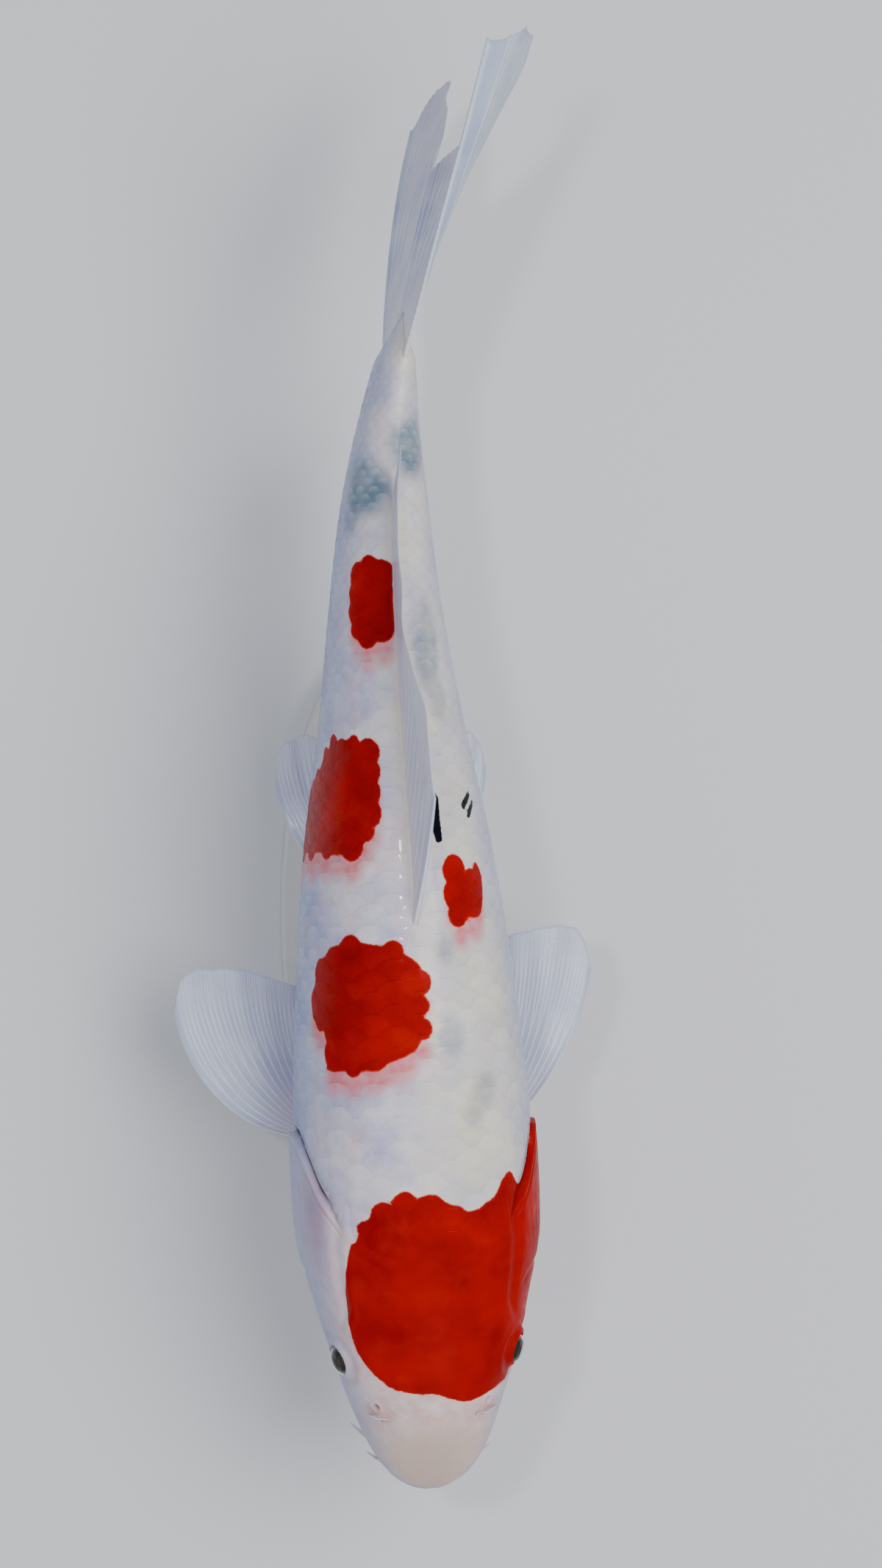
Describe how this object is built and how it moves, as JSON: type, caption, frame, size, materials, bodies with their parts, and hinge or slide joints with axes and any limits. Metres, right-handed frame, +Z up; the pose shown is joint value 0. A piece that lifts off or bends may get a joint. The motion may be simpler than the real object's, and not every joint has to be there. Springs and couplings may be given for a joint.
{
  "type": "koi carp model",
  "caption": "Life-size still model of a white koi carp with red patches, swimming with its tail swung to its left, held over an oval base by short rods.",
  "frame": {"origin": "centre of the stand base's underside, on the floor", "axes": "+Y from head to tail, +X to the fish's left, +Z up"},
  "size_m": [0.1705, 0.5617, 0.2037],
  "materials": {
    "white_skin": "wet, pearly white fish skin with overlapping scales",
    "red_skin": "wet, deep red fish skin",
    "fin": "thin, milky fin skin over fine branching rays",
    "eye": "dark, wet eye with a thin brown rim",
    "stand_base": "plain pale satin plate",
    "stand_rod": "brushed round rod"
  },
  "bodies": {
    "root": {"head": "red_skin", "lower_jaw": "white_skin", "gill_cover_left": "white_skin", "gill_cover_right": "white_skin", "trunk": "white_skin", "tail_stalk": "white_skin", "nostril_flap_left": "white_skin", "nostril_flap_right": "white_skin", "barbel_upper_left": "white_skin", "barbel_upper_right": "white_skin", "barbel_corner_left": "white_skin", "barbel_corner_right": "white_skin", "eye_left": "eye", "eye_right": "eye", "dorsal_fin": "fin", "anal_fin": "fin", "pelvic_fin_left": "fin", "pelvic_fin_right": "fin", "pectoral_fin_left": "fin", "pectoral_fin_right": "fin", "tail_fin_upper": "fin", "tail_fin_lower": "fin", "stand_base": "stand_base", "stand_rod_front": "stand_rod", "stand_rod_rear": "stand_rod"}
  },
  "joints": []
}
